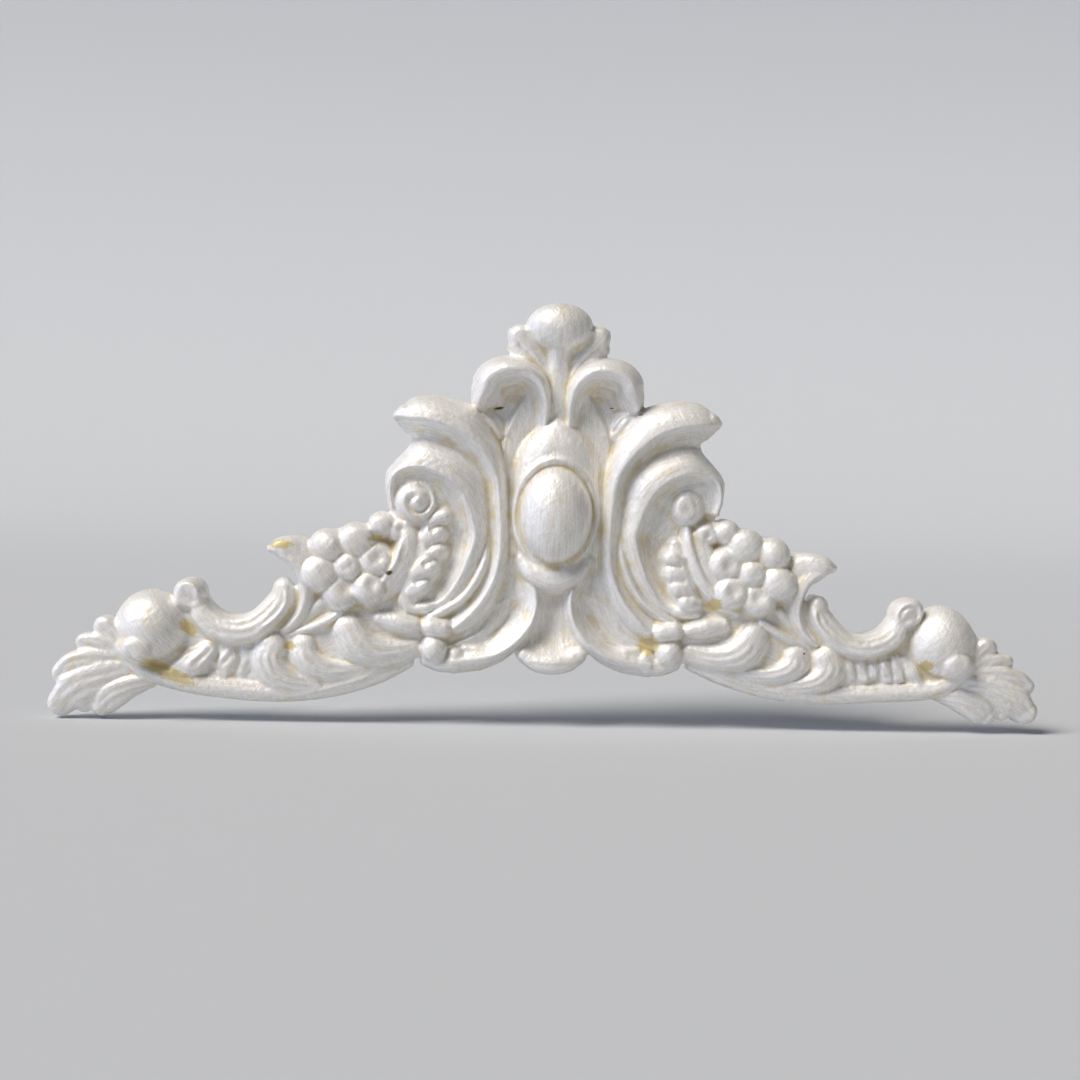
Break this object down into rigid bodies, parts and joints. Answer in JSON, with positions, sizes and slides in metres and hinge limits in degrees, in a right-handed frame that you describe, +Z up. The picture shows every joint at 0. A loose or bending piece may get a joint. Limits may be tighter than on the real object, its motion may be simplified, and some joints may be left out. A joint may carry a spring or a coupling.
{
  "type": "pediment onlay",
  "caption": "Rococo pediment onlay for furniture: an oval boss between paired volutes and scrolling leaf wings under a leaf crown, with a flat back for gluing on",
  "frame": {"origin": "on the flat back, behind the middle of the oval boss", "axes": "X along the length, +Z up, the carved face towards -Y and the flat back on Y = 0"},
  "size_m": [0.2996, 0.022, 0.1259],
  "materials": {
    "painted_resin": "pearl white brushed paint over cream cast resin, satin"
  },
  "bodies": {
    "root": {"pediment": "painted_resin"}
  },
  "joints": []
}
